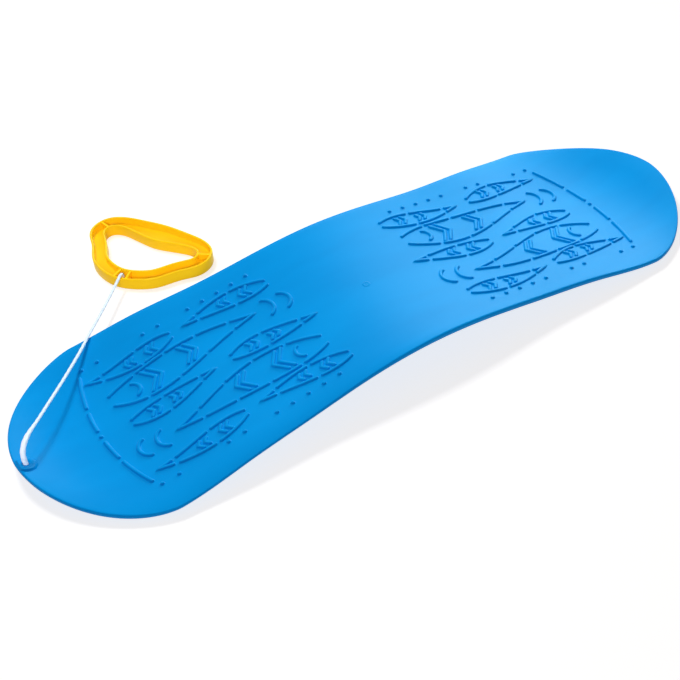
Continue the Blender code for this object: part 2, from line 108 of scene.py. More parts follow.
ROLL_FADE = 0.12  # sideways from the middle, this far to the right or left changes the share by 1
DECK_SHARP = 50  # degrees between faces that shade apart
SUNK = 0.0010  # raised parts reach this deep into the plate
KEEL_STATIONS = 161
KEEL_FADE = 0.012  # each keel runs out over this length
KEEL_SECTION = [  # shares of the width and of the depth; None is sunk in the plate
    (-0.50, None),
    (-0.50, 0.0),
    (-0.44, 0.55),
    (-0.34, 0.9),
    (-0.22, 1.0),
]
BOSS_SIDES = 64
GATE_SIDES = 40

# Tread, as in the CAD
RIB_HEIGHT = 0.0018
RIB_WIDTH = 0.0034
STUD_PITCH = 0.016194
STUD_RADIUS = 0.0022
STUD_ROW_AT = 0.0839
STUD_ROW_END = 0.2632
STUDS_IN_ROW = (0, 1, 4, 5, 7, 8, 9, 10, 11)
ARC_CENTRE_AT = 0.0620
ARC_RADIUS = 0.2200
ARC_DASHES = ((2.15, 8.25), (10.25, 20.0))
LEAVES = [  # blunt end from the middle, and sideways; length, less than 0 towards the middle; half the width
    (0.0640, 0.0345, 0.1600, 0.0180),
    (0.2640, -0.0345, -0.1600, 0.0180),
    (0.0600, 0.0655, 0.0920, 0.0095),
    (0.1660, 0.0655, 0.0920, 0.0095),
    (0.1500, 0.0000, -0.0900, 0.0095),
    (0.2560, 0.0000, -0.0900, 0.0095),
    (0.0700, -0.0655, 0.0920, 0.0095),
    (0.1740, -0.0655, 0.0920, 0.0095),
]
LEAF_FULLNESS = 0.70
LEAF_MOUTH = 0.05
LEAF_POINT = 0.87
DASH_LENGTH = 0.0260
DASH_GAP = 0.0060
CHEVRONS_AT = (0.31, 0.56)
CHEVRON_STEP = 0.0066
CHEVRON_SLANT = 0.70
CHEVRON_CLEAR = 0.0041
CRESCENT_RADIUS = 0.0085
CRESCENT_AT = 0.17
CRESCENT_LEAST = 0.012
LOOSE_CRESCENTS = [  # middle of the circle, and radius, less than 0 where the crescent opens to the tip
    (0.2330, 0.0345, 0.0120),
    (0.2500, 0.0345, 0.0120),
    (0.0780, -0.0345, -0.0120),
    (0.0950, -0.0345, -0.0120),
]
CRESCENT_TURN = 66  # degrees to either side
FLOW = 0.0038  # the whole tread swings sideways this much
FLOW_LENGTH = 0.1800

# Tread, finer than the CAD
RIB_STEP = 0.0016
RIB_SECTION = [  # from the rib's outer skirt to its crest: past half its width, and its height
    (0.00095, -0.00010),
    (0.00050, 0.00003),
    (0.00012, 0.00030),
    (-0.00012, 0.00080),
    (-0.00035, 0.00130),
    (-0.00070, 0.00165),
    (-0.00115, 0.00180),
]
RIB_LEAST_LEAN = 0.5  # keeps a rib from growing too wide in its bends
CAP_STEPS = 8
CRESCENT_POINTS = 19
ARC_POINTS = 24
STUD_SIDES = 20
STUD_INSET = 0.0003  # a stud's skirt makes up for this
STUD_CROWN = (0.75, 1.03)  # shares of its radius and its height where its top is flat

# Nose hole and handle, as in the CAD
NOSE_HOLE = (-0.3508, -0.0042)
NOSE_HOLE_RADIUS = 0.0028
BOSS_RADIUS = 0.0085
BOSS_HEIGHT = 0.0018
BOSS_RIM = 0.0026
HANDLE_HEIGHT = 0.0130
HANDLE_WALL = 0.0024
WEB_BOTTOM = 0.0038
WEB_THICKNESS = 0.0018
HANDLE_OUTLINE = [  # half of it: towards the grip, sideways, and the bar's width there
    (-0.0546, 0.0000, 0.0159),
    (-0.0498, 0.0221, 0.0159),
    (-0.0390, 0.0397, 0.0158),
    (-0.0195, 0.0552, 0.0157),
    (-0.0058, 0.0680, 0.0159),
    (0.0075, 0.0719, 0.0160),
    (0.0246, 0.0657, 0.0162),
    (0.0335, 0.0499, 0.0168),
    (0.0370, 0.0277, 0.0214),
    (0.0390, 0.0000, 0.0267),
]
HANDLE_HOLE_SIDE = -0.20
POCKET_HALF = 0.33
CORNER_RIB = 5.5
HANDLE_RIB = 0.0022
HANDLE_RIB_DROP = 0.0004
HANDLE_HOLE_RADIUS = 0.0018
HANDLE_PLACE = frame["joints"][0]["pos_m"]
HANDLE_TURN = 29.2

# Handle, finer than the CAD
HANDLE_STEPS = 10
HANDLE_CURVE_STEPS = 12
HANDLE_WRAP_POINTS = 4  # the outline runs on past its ends by these, so that its curve closes smoothly
HANDLE_ROUND = 0.0010
HANDLE_SHARP = 40
HANDLE_BORE_DEPTH = 0.006
HANDLE_BORE_SIDES = 40

# Cord, with the CAD's route
CORD_RADIUS = 0.0014
SPLICE_RADIUS = 0.0023
CORD_ROUTE = [
    (-0.3508, -0.0042, -0.0234),
    (-0.3508, -0.0042, -0.0172),
    (-0.3508, -0.0042, -0.0110),
    (-0.3500, -0.0033, -0.0060),
    (-0.3474, -0.0005, -0.0022),
    (-0.3429, 0.0044, -0.0003),
    (-0.3371, 0.0108, -0.0008),
    (-0.3289, 0.0195, -0.0031),
    (-0.3133, 0.0364, -0.0072),
    (-0.2894, 0.0620, -0.0128),
    (-0.2650, 0.0884, -0.0176),
    (-0.2487, 0.1060, -0.0197),
    (-0.2396, 0.1158, -0.0200),
    (-0.2312, 0.1244, -0.0206),
    (-0.2120, 0.1441, -0.0218),
    (-0.1925, 0.1646, -0.0226),
    (-0.1827, 0.1751, -0.0226),
    (-0.1766, 0.1813, -0.0225),
    (-0.1733, 0.1850, -0.0243),
    (-0.1719, 0.1865, -0.0298),
    (-0.1719, 0.1865, -0.0337),
]
SPLICE_POINTS = 7
ROUTE_STEPS = 40
CORD_SIDES = 20
STRANDS = 8
BRAID_PITCH = 0.0075
BRAID_DEPTH = 0.00016
CORD_FUZZ = 0.00012
NOSE_KNOT_TUBE = SPLICE_RADIUS * 0.72
HANDLE_KNOT_TUBE = CORD_RADIUS * 0.9
KNOT_POINTS = 121
FIRST_ACROSS = (0.3, 0.2, 0.9)  # any direction that the cord doesn't start in

# Camera of the photo
LENS = 62.575
SENSOR = 36.0
CAMERA_AT = (-0.45401, -0.72815, 0.71872)
CAMERA_AZIMUTH = -30.014
CAMERA_ELEVATION = 42.583
CAMERA_ROLL = -4.482

# Colours, from the darker to the lighter of each pair
DECK_BLUES = ((0.0, 0.335, 0.78), (0.0, 0.365, 0.83))
HANDLE_YELLOWS = ((1.0, 0.56, 0.005), (1.0, 0.60, 0.008))
CORD_WHITES = ((0.70, 0.74, 0.80), (0.82, 0.85, 0.90))
ROUGHNESS_SPREAD = (-0.05, 0.07)

# Floor, world and lights
FLOOR_REACH = 6
FLOOR_GREY = (0.55, 0.55, 0.55, 1)
FLOOR_GLOW = (1.0, 0.95, 0.875, 1)
FLOOR_GLOW_STRENGTHS = (0.35, 0.755)  # for the light on things, and as seen
WORLD_COLOURS = ((0.16, 0.18, 0.25), (1, 1, 1))  # in the same order
LIGHTS = {  # place, aim, size, power and colour
    "key": ((-0.16, 0.96, 1.60), (0, 0, 0), (0.45, 0.35), 16.5, (1, 1, 1)),
    "sheen": ((1.12, 0.88, 0.66), (0.2, 0, 0), (1.3, 0.8), 20, (0.68, 1.0, 1.0)),
    "fill": ((-0.9, -1.3, 0.9), (-0.17, 0.1, 0), (1.2, 0.8), 4, (0.55, 0.72, 1.0)),
    "pull_fill": ((-0.7, -0.9, 0.75), (-0.17, 0.19, 0), (0.6, 0.4), 11, (1, 1, 1)),
}

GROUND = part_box("deck")[0].z


def smooth_curve(points, steps):
    """Points on a natural cubic spline through the given ones, with this many steps from each to the next."""
    points = np.asarray(points, float)
    count = len(points)
    lengths = np.linalg.norm(np.diff(points, axis=0), axis=1)
    system = np.eye(count)
    target = np.zeros_like(points)
    for i in range(1, count - 1):
        before, after = lengths[i - 1], lengths[i]
        system[i, i - 1 : i + 2] = before, 2 * (before + after), after
        target[i] = 6 * ((points[i + 1] - points[i]) / after - (points[i] - points[i - 1]) / before)
    bends = np.linalg.solve(system, target)
    curve = []
    for i in range(count - 1):
        span = lengths[i]
        for step in range(steps):
            t = step / steps
            s = 1 - t
            straight = s * points[i] + t * points[i + 1]
            curve.append(straight + ((s**3 - s) * bends[i] + (t**3 - t) * bends[i + 1]) * span**2 / 6)
    curve.append(points[-1])
    return np.array(curve)


def mirrored_profile():
    """The centre line's profile, fine enough to read heights from, and level at the middle."""
    tip_at = max(NOSE_REACH, TAIL_REACH)
    half = [(CONTACT_AT * along, -ARCH_RISE * down) for along, down in ARCH_SHAPE]
    to_tip = tip_at - CONTACT_AT
    half += [(CONTACT_AT + to_tip * along, TIP_RISE * up - ARCH_RISE) for along, up in LIFT_SHAPE]
    other = [(-x, z) for x, z in reversed(half[1:])]
    return smooth_curve(other + half, PROFILE_STEPS)


PROFILE_CURVE = mirrored_profile()


def deck_height(x, y):
    """The deck's top surface above a point of the plan, or above many points."""
    along = np.interp(x, PROFILE_CURVE[:, 0], PROFILE_CURVE[:, 1])
    return along + EDGE_RISE * (np.asarray(y) / NOSE_HALF_WIDTH) ** 2 - GATE_RISE


def half_outline(reach, half_width, ease):
    """From the waist to one tip: distance from the middle, and half the width there."""
    widest_at = reach - END_REACH
    outline = []
    for i in range(SIDE_STEPS):
        share = i / SIDE_STEPS
        swell = (1 - math.cos(math.pi * share**ease)) / 2
        outline.append((share * widest_at, WAIST_HALF_WIDTH + swell * (half_width - WAIST_HALF_WIDTH)))
    for i in range(END_STEPS):
        turn = i / END_STEPS * math.pi / 2
        x = widest_at + END_REACH * math.sin(turn) ** TIP_ROUND[0]
        outline.append((x, half_width * math.cos(turn) ** TIP_ROUND[1]))
    outline.append((reach, 0.0))
    return outline


def deck_side():
    """The deck's left edge in plan, from the nose's tip to the tail's tip."""
    nose = half_outline(NOSE_REACH, NOSE_HALF_WIDTH, NOSE_EASE)
    tail = half_outline(TAIL_REACH, TAIL_HALF_WIDTH, TAIL_EASE)
    return np.array([(-x, w) for x, w in reversed(nose)] + tail[1:])


DECK_SIDE = deck_side()


def half_width_at(x):
    return float(np.interp(x, DECK_SIDE[:, 0], DECK_SIDE[:, 1]))


def new_object(name, vertices, faces, smooth=True):
    mesh = bpy.data.meshes.new(name)
    mesh.from_pydata([tuple(map(float, v)) for v in vertices], [], faces)
    shape = bmesh.new()
    shape.from_mesh(mesh)
    bmesh.ops.recalc_face_normals(shape, faces=shape.faces)
    shape.to_mesh(mesh)
    shape.free()
    if smooth:
        mesh.shade_smooth()
    made = bpy.data.objects.new(name, mesh)
    bpy.context.scene.collection.objects.link(made)
    return made


def bands(rings):
    """Faces between each ring of vertices and the next."""
    faces = []
    for a, b in zip(rings, rings[1:]):
        faces += [[a[i], a[(i + 1) % len(a)], b[(i + 1) % len(a)], b[i]] for i in range(len(a))]
    return faces


def number_rings(count, sides):
    """The vertices' numbers where each ring's follow those of the ring before."""
    return [list(range(i * sides, (i + 1) * sides)) for i in range(count)]


def bore(name, radius, depth, place, sides):
    """A round cutter that stands upright."""
    made = bmesh.new()
    bmesh.ops.create_cone(
        made,
        cap_ends=True,
        segments=sides,
        radius1=radius,
        radius2=radius,
        depth=depth,
        matrix=Matrix.Translation(place),
    )
    mesh = bpy.data.meshes.new(name)
    made.to_mesh(mesh)
    made.free()
    cutter = bpy.data.objects.new(name, mesh)
    bpy.context.scene.collection.objects.link(cutter)
    return cutter


def combine(target, other, operation):
    """Joins or cuts, and then drops the other shape."""
    modifier = target.modifiers.new("combine", "BOOLEAN")
    modifier.operation = operation
    modifier.solver = "EXACT"
    modifier.object = other
    graph = bpy.context.evaluated_depsgraph_get()
    mesh = bpy.data.meshes.new_from_object(target.evaluated_get(graph))
    target.modifiers.clear()
    target.data = mesh
    bpy.data.objects.remove(other)


# Deck plate
def quarter(radius, steps):
    """A rounded corner as steps from 0 to the radius: across, and down."""
    turns = [math.pi / 2 * i / steps for i in range(steps + 1)]
    return [(radius * (1 - math.sin(turn)), radius * (1 - math.cos(turn))) for turn in turns]


def rim_rings():
    """Inward and downward steps round the turned-down edge, from the deck's top to its underside."""
    rings = quarter(EDGE_ROUND, EDGE_STEPS)
    foot = quarter(FOOT_ROUND, FOOT_STEPS)
    rings += [(across, RIM_DEPTH - down) for across, down in reversed(foot)]
    rings += [(RIM_WIDTH - across, RIM_DEPTH - down) for across, down in foot]
    rings += [(RIM_WIDTH + down, PLATE + across) for across, down in foot]
    return rings


def edge_share(x):
    """The turned-down edge's size at places along the deck, as a share of the middle's."""
    places, shares = zip(*EDGE_SHARES)
    return np.interp(x, places, shares)


def edge_roll(points):
    """How far the plate bends down near its edge.

    On the deck's right side this keeps the slim edge's foot where the CAD's is, except by the boss.
    """
    points = np.asarray(points, float)
    outline = np.vstack([DECK_SIDE, DECK_SIDE * (1, -1)])
    inset = np.array([np.hypot(*(outline - point).T).min() for point in points])
    rolled = (1 - np.clip(inset / ROLL_WIDTH, 0, 1)) ** 2
    side_share = np.clip(ROLL_MIDDLE_SHARE - points[:, 1] / ROLL_FADE, ROLL_LEFT_SHARE, 1)
    from_boss = np.hypot(*(points - NOSE_HOLE).T) - BOSS_RADIUS
    spared = np.clip(from_boss / ROLL_WIDTH, 0, 1)
    return RIM_DEPTH * (1 - edge_share(points[:, 0])) * rolled * side_share * spared


def plate():
    """The curved plate with its rounded, turned-down edge."""
    side = DECK_SIDE
    run = np.gradient(side, axis=0)
    inward = np.column_stack([run[:, 1], -run[:, 0]]) / np.linalg.norm(run, axis=1, keepdims=True)
    inward[0] = (1, 0)
    inward[-1] = (-1, 0)
    count = len(side)
    vertices = []
    loops = []
    share = edge_share(side[:, 0])
    shares = np.concatenate([share, share[-2:0:-1]])
    for reach, down in rim_rings():
        left = side + inward * (reach * share)[:, None]
        right = left * (1, -1)
        loop = np.vstack([left, right[-2:0:-1]])
        loops.append([len(vertices) + i for i in range(len(loop))])
        heights = deck_height(loop[:, 0], loop[:, 1]) - down * shares - edge_roll(loop)
        vertices += [(x, y, z) for (x, y), z in zip(loop, heights)]
    faces = bands(loops)
    for loop, down in ((loops[0], 0.0), (loops[-1], PLATE)):
        rows = []
        for i in range(count):
            a = loop[i]
            b = loop[-i % len(loop)]
            if a == b:
                rows.append([a] * (PLATE_ACROSS + 1))
                continue
            start = np.array(vertices[a][:2])
            end = np.array(vertices[b][:2])
            inner = start + (end - start) * (np.arange(1, PLATE_ACROSS) / PLATE_ACROSS)[:, None]
            heights = deck_height(inner[:, 0], inner[:, 1]) - down - edge_roll(inner)
            rows.append([a, *range(len(vertices), len(vertices) + PLATE_ACROSS - 1), b])
            vertices += [(x, y, z) for (x, y), z in zip(inner, heights)]
        for near, far in zip(rows, rows[1:]):
            for j in range(PLATE_ACROSS):
                faces.append(list(dict.fromkeys([near[j], near[j + 1], far[j + 1], far[j]])))
    return new_object("deck_shell", vertices, faces)


# Tread
def resampled(path, step):
    """Points along a path at even distances, with its bends kept."""
    path = np.asarray(path, float)
    points = [path[0]]
    for a, b in zip(path, path[1:]):
        count = max(1, math.ceil(np.linalg.norm(b - a) / step))
        points += [a + (b - a) * (i + 1) / count for i in range(count)]
    return np.array(points)


def rib_shell(path, half, vertices, faces):
    """A raised bar with a rounded crest, round ends and a skirt that runs into the deck."""
    count = len(path)
    run = np.gradient(path, axis=0)
    run /= np.linalg.norm(run, axis=1, keepdims=True)
    side = np.column_stack([-run[:, 1], run[:, 0]])
    legs = np.diff(path, axis=0)
    legs /= np.linalg.norm(legs, axis=1, keepdims=True)
    lean = np.ones(count)
    lean[1:-1] = np.abs(side[1:-1, 0] * -legs[:-1, 1] + side[1:-1, 1] * legs[:-1, 0])
    side /= np.maximum(lean, RIB_LEAST_LEAN)[:, None]
    rings = []
    for past, rise in [(RIB_SECTION[0][0], -SUNK), *RIB_SECTION]:
        reach = half + past
        loop = [path[i] + side[i] * reach for i in range(count)]
        for i in range(1, CAP_STEPS):
            turn = math.pi / 2 - math.pi * i / CAP_STEPS
            loop.append(path[-1] + reach * (run[-1] * math.cos(turn) + side[-1] * math.sin(turn)))
        loop += [path[i] - side[i] * reach for i in range(count - 1, -1, -1)]
        for i in range(1, CAP_STEPS):
            turn = -math.pi / 2 - math.pi * i / CAP_STEPS
            loop.append(path[0] + reach * (run[0] * math.cos(turn) + side[0] * math.sin(turn)))
        first = len(vertices)
        vertices += [(x, y, deck_height(x, y) + rise) for x, y in loop]
        rings.append([first + i for i in range(len(loop))])
    faces += bands(rings)
    last = count - 1
    for ring in (rings[0], rings[-1]):
        left = ring[:count]
        cap_end = ring[count : count + CAP_STEPS - 1]
        right = ring[count + CAP_STEPS - 1 : 2 * count + CAP_STEPS - 1][::-1]
        cap_start = ring[2 * count + CAP_STEPS - 1 :]
        for i in range(last):
            faces.append([left[i], left[i + 1], right[i + 1], right[i]])
        faces.append([left[last], *cap_end, right[last]])
        faces.append([right[0], *cap_start, left[0]])


def stud_shell(centre, radius, vertices, faces):
    """A low round stud with a rounded top and a skirt that runs into the deck."""
    crown = (-radius * STUD_CROWN[0], RIB_HEIGHT * STUD_CROWN[1])
    rings = []
    for past, rise in [(RIB_SECTION[0][0], -SUNK), *RIB_SECTION, crown]:
        first = len(vertices)
        for i in range(STUD_SIDES):
            turn = 2 * math.pi * i / STUD_SIDES
            x = centre[0] + (radius + past) * math.cos(turn)
            y = centre[1] + (radius + past) * math.sin(turn)
            vertices.append((x, y, deck_height(x, y) + rise))
        rings.append([first + i for i in range(STUD_SIDES)])
    faces += bands(rings)
    faces += [rings[0], rings[-1]]


def flow(x):
    return FLOW * math.sin(2 * math.pi * x / FLOW_LENGTH)


def leaf_point(leaf, share, side):
    """A point of one side of a leaf, with share 0 at its blunt end and 1 at its point."""
    x, y, length, half = leaf
    swell = math.sin(math.pi * min(share, 1.0) ** LEAF_FULLNESS)
    x += length * share
    return (x, y + flow(x) + side * half * swell)


def leaf_side(leaf, side):
    """One side of a leaf as dashes of even length with even gaps."""
    length = abs(leaf[2])
    gap = DASH_GAP / length
    room = LEAF_POINT - gap - LEAF_MOUTH
    dashes = max(1, round((room + gap) * length / (DASH_LENGTH + DASH_GAP)))
    share = (room + gap) / dashes
    paths = []
    for i in range(dashes):
        start = LEAF_MOUTH + i * share
        end = start + share - gap
        steps = max(2, math.ceil((end - start) * length / RIB_STEP))
        paths.append([leaf_point(leaf, start + (end - start) * j / steps, side) for j in range(steps + 1)])
    return paths


def chevron(leaf, share, back):
    """One bar across a leaf, bent towards the leaf's point."""
    way = math.copysign(1, leaf[2])
    upper = leaf_point(leaf, share, 1)
    lower = leaf_point(leaf, share, -1)
    half = (upper[1] - lower[1]) / 2 - CHEVRON_CLEAR
    x = upper[0] - way * back
    y = (upper[1] + lower[1]) / 2
    tip = x + way * half * CHEVRON_SLANT
    return resampled([(x, y + half), (tip, y), (x, y - half)], RIB_STEP)


def crescent(x, y, radius):
    """A part of a ring that opens to the middle, or to the tip where the radius is less than 0."""
    turns = np.radians(np.linspace(-CRESCENT_TURN, CRESCENT_TURN, CRESCENT_POINTS))
    return [(x + radius * math.cos(a), y + flow(x) + abs(radius) * math.sin(a)) for a in turns]


def leaf_paths(leaf):
    x, y, length, half = leaf
    paths = leaf_side(leaf, 1) + leaf_side(leaf, -1)
    tip = [leaf_point(leaf, LEAF_POINT, 1), leaf_point(leaf, 1, 0), leaf_point(leaf, LEAF_POINT, -1)]
    paths.append(resampled(tip, RIB_STEP))
    for share in CHEVRONS_AT:
        paths += [chevron(leaf, share, back) for back in (0, CHEVRON_STEP)]
    if half > CRESCENT_LEAST:
        paths.append(crescent(x + length * CRESCENT_AT, y, math.copysign(CRESCENT_RADIUS, length)))
    return paths


def arc_paths():
    paths = []
    for start, end in ARC_DASHES:
        for side in (-1, 1):
            turns = np.radians(np.linspace(start, end, ARC_POINTS)) * side
            along = ARC_CENTRE_AT + ARC_RADIUS * np.cos(turns)
            paths.append(np.column_stack([along, ARC_RADIUS * np.sin(turns)]))
    return paths


def tread():
    """Every rib and stud on the deck. The nose's field is the tail's, turned half round."""
    vertices = []
    faces = []
    paths = [path for leaf in LEAVES for path in leaf_paths(leaf)]
    paths += [crescent(*place) for place in LOOSE_CRESCENTS]
    paths += arc_paths()
    for path in paths:
        for sign in (1, -1):
            rib_shell(np.array(path) * sign, RIB_WIDTH / 2, vertices, faces)
    studs = [(ARC_CENTRE_AT + ARC_RADIUS, 0.0)]
    studs += [(STUD_ROW_END - k * STUD_PITCH, side * STUD_ROW_AT) for k in STUDS_IN_ROW for side in (-1, 1)]
    for x, y in studs:
        for sign in (1, -1):
            stud_shell((sign * x, sign * y), STUD_RADIUS - STUD_INSET, vertices, faces)
    return new_object("deck_tread", vertices, faces)


def boss():
    """The raised round patch of the cord's hole, cut off inside the deck's edge."""
    levels = [  # past the radius, height, and whether it is the hole's
        (0.0, -SUNK, True),
        (0.0, 0.6 * BOSS_HEIGHT, True),
        (0.0004, BOSS_HEIGHT, True),
        (-0.0009, BOSS_HEIGHT, False),
        (-0.0004, 0.9 * BOSS_HEIGHT, False),
        (0.0, 0.55 * BOSS_HEIGHT, False),
        (0.0003, 0.2 * BOSS_HEIGHT, False),
        (0.0010, -0.0001, False),
        (0.0010, -SUNK, False),
    ]
    vertices = []
    rings = []
    for past, rise, inner in levels:
        ring = []
        for i in range(BOSS_SIDES):
            turn = 2 * math.pi * i / BOSS_SIDES
            reach = (NOSE_HOLE_RADIUS if inner else BOSS_RADIUS) + past
            x = NOSE_HOLE[0] + reach * math.cos(turn)
            y = NOSE_HOLE[1] + reach * math.sin(turn)
            if not inner:
                least = BOSS_RIM - NOSE_REACH - past
                x = max(x, least)
                room = half_width_at(x) - BOSS_RIM + past
                y = min(max(y, -room), room)
            ring.append(len(vertices))
            vertices.append((x, y, deck_height(x, y) + rise))
        rings.append(ring)
    return new_object("deck_boss", vertices, bands(rings + rings[:1]))


def gate_mark():
    """The moulding mark at the middle: a low disc with a ring and a dimple."""
    levels = [  # radius and height
        (GATE_RADIUS + 0.0005, -SUNK),
        (GATE_RADIUS + 0.0005, -0.00045),
        (GATE_RADIUS + 0.0001, -0.00020),
        (GATE_RADIUS - 0.0004, 0.0),
        (0.0019, 0.0),
        (0.0015, -0.00025),
        (0.0008, -0.00025),
        (0.0005, 0.0),
    ]
    vertices = []
    for radius, z in levels:
        for i in range(GATE_SIDES):
            turn = 2 * math.pi * i / GATE_SIDES
            vertices.append((radius * math.cos(turn), radius * math.sin(turn), z))
    rings = number_rings(len(levels), GATE_SIDES)
    return new_object("deck_gate_mark", vertices, [rings[0], rings[-1]] + bands(rings))


def keel(side):
    """A runner strip under the deck with rounded edges."""
    section = KEEL_SECTION + [(-across, share) for across, share in reversed(KEEL_SECTION)]
    vertices = []
    for x in np.linspace(-KEEL_HALF_LENGTH, KEEL_HALF_LENGTH, KEEL_STATIONS):
        room = float(deck_height(x, KEEL_AT)) - PLATE - GROUND
        fade = min(1.0, (KEEL_HALF_LENGTH - abs(x)) / KEEL_FADE)
        depth = min(KEEL_DEPTH * math.sin(fade * math.pi / 2), room)
        for across, share in section:
            y = side * (KEEL_AT + KEEL_WIDTH * across)
            under = float(deck_height(x, y)) - PLATE
            z = under + SUNK if share is None else max(under - depth * share, GROUND)
            vertices.append((x, y, z))
    rings = number_rings(KEEL_STATIONS, len(section))
    name = "deck_keel_" + ("left" if side > 0 else "right")
    return new_object(name, vertices, [rings[0], rings[-1]] + bands(rings))


def build_deck(material):
    shell = plate()
    place = (*NOSE_HOLE, float(deck_height(*NOSE_HOLE)))
    combine(shell, bore("nose_bore", NOSE_HOLE_RADIUS, 6 * PLATE, place, BOSS_SIDES), "DIFFERENCE")
    shell.data.shade_smooth()
    shell.data.set_sharp_from_angle(angle=math.radians(DECK_SHARP))
    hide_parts("deck")
    pieces = [shell, tread(), boss(), gate_mark(), keel(1), keel(-1)]
    for piece in pieces:
        piece.data.materials.clear()
        piece.data.materials.append(material)
        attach(piece, "board")


# Handle
def handle_loop():
    """The outline's curve, the number of its points, and where on the curve the first of them lies."""
    half = np.array(HANDLE_OUTLINE)
    loop = np.vstack([half, half[-2:0:-1] * (1, -1, 1)])
    spread = np.vstack([loop[-HANDLE_WRAP_POINTS:], loop, loop[: HANDLE_WRAP_POINTS + 1]])
    curve = smooth_curve(spread, HANDLE_CURVE_STEPS)
    return curve, len(loop), HANDLE_WRAP_POINTS * HANDLE_CURVE_STEPS


HANDLE_CURVE, HANDLE_POINTS, HANDLE_WRAP = handle_loop()


def handle_at(place):
    """Place on the outline, inward direction and bar width, for a place counted in points from the front."""
    where = HANDLE_WRAP + place % HANDLE_POINTS * HANDLE_CURVE_STEPS
    i = math.floor(where)
    share = where - i
    row = HANDLE_CURVE[i] * (1 - share) + HANDLE_CURVE[i + 1] * share
    run = HANDLE_CURVE[i + 1, :2] - HANDLE_CURVE[i, :2]
    before = HANDLE_CURVE[i, :2] - HANDLE_CURVE[i - 1, :2]
    run = run * share + before * (1 - share)
    inward = np.array([run[1], -run[0]]) / np.hypot(*run)
    return row[:2], inward, row[2]


def handle_hole():
    place, inward, bar = handle_at(HANDLE_HOLE_SIDE)
    return place + inward * bar / 2


def rounded(corners, radius, steps=3):
    """A closed outline of right angles with its corners rounded."""
    points = []
    count = len(corners)
    for i in range(count):
        here = np.array(corners[i], float)
        to_before = np.array(corners[i - 1], float) - here
        to_after = np.array(corners[(i + 1) % count], float) - here
        to_before /= np.linalg.norm(to_before)
        to_after /= np.linalg.norm(to_after)
        centre = here + (to_before + to_after) * radius
        for step in range(steps + 1):
            turn = math.pi / 2 * step / steps
            points.append(centre - to_after * radius * math.cos(turn) - to_before * radius * math.sin(turn))
    return points


def handle_section(bar):
    """The bar's section: two walls with a web between them."""
    web_top = WEB_BOTTOM + WEB_THICKNESS
    wall = HANDLE_WALL
    height = HANDLE_HEIGHT
    corners = [
        (0, 0),
        (0, height),
        (wall, height),
        (wall, web_top),
        (bar - wall, web_top),
        (bar - wall, height),
        (bar, height),
        (bar, 0),
        (bar - wall, 0),
        (bar - wall, WEB_BOTTOM),
        (wall, WEB_BOTTOM),
        (wall, 0),
    ]
    return rounded(corners, HANDLE_ROUND)


def handle_rib(place):
    """A cross rib from wall to wall."""
    edge, inward, bar = handle_at(place)
    along = np.array([-inward[1], inward[0]]) * HANDLE_RIB / 2
    near = edge + inward * HANDLE_WALL / 2
    far = edge + inward * (bar - HANDLE_WALL / 2)
    corners = [near - along, near + along, far + along, far - along]
    middle = handle_hole()
    low = HANDLE_RIB_DROP
    high = HANDLE_HEIGHT - HANDLE_RIB_DROP
    vertices = [(*(corner - middle), z) for z in (low, high) for corner in corners]
    rings = number_rings(2, len(corners))
    return new_object("handle_rib_shape", vertices, rings + bands(rings), smooth=False)


def build_handle(material):
    middle = handle_hole()
    stations = HANDLE_POINTS * HANDLE_STEPS
    vertices = []
    for i in range(stations):
        edge, inward, bar = handle_at(i / HANDLE_STEPS)
        for depth, height in handle_section(bar):
            vertices.append((*(edge + inward * depth - middle), height))
    rings = number_rings(stations, len(vertices) // stations)
    handle = new_object("grip_handle", vertices, bands(rings + rings[:1]))
    for place in (HANDLE_HOLE_SIDE - POCKET_HALF, HANDLE_HOLE_SIDE + POCKET_HALF, CORNER_RIB, -CORNER_RIB):
        combine(handle, handle_rib(place), "UNION")
    web_middle = (0, 0, WEB_BOTTOM + WEB_THICKNESS / 2)
    cutter = bore("handle_bore", HANDLE_HOLE_RADIUS, HANDLE_BORE_DEPTH, web_middle, HANDLE_BORE_SIDES)
    combine(handle, cutter, "DIFFERENCE")
    turn = Matrix.Rotation(math.radians(HANDLE_TURN), 4, "Z")
    place = Matrix.Translation((HANDLE_PLACE[0], HANDLE_PLACE[1], GROUND))
    handle.data.transform(place @ turn)
    handle.data.shade_smooth()
    handle.data.set_sharp_from_angle(angle=math.radians(HANDLE_SHARP))
    handle.data.materials.clear()
    handle.data.materials.append(material)
    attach(handle, "handle")
    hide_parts("pull_handle")


# Cord
def frames_along(path):
    """At each point of a path, two directions across it that don't twist."""
    run = np.gradient(path, axis=0)
    run /= np.linalg.norm(run, axis=1, keepdims=True)
    side = np.cross(run[0], FIRST_ACROSS)
    side /= np.linalg.norm(side)
    sides = []
    for tangent in run:
        side = side - tangent * (side @ tangent)
        side /= np.linalg.norm(side)
        sides.append(side)
    sides = np.array(sides)
    return sides, np.cross(run, sides)


def braided_tube(name, path, radii):
    """A tube with the crossing strands of a braid raised on it, and closed ends."""
    across, upward = frames_along(path)
    lengths = np.r_[0, np.cumsum(np.linalg.norm(np.diff(path, axis=0), axis=1))]
    turns = 2 * math.pi * np.arange(CORD_SIDES) / CORD_SIDES
    vertices = []
    for i, centre in enumerate(path):
        wind = 2 * math.pi * lengths[i] / BRAID_PITCH
        one = np.cos(STRANDS / 2 * (turns + wind / (STRANDS / 2)))
        other = np.cos(STRANDS / 2 * (turns - wind / (STRANDS / 2)))
        radius = radii[i] - BRAID_DEPTH + BRAID_DEPTH * np.maximum(one, other)
        for turn, reach in zip(turns, radius):
            vertices.append(centre + reach * (across[i] * math.cos(turn) + upward[i] * math.sin(turn)))
    rings = number_rings(len(path), CORD_SIDES)
    return new_object(name, vertices, bands(rings) + [rings[0], rings[-1]])


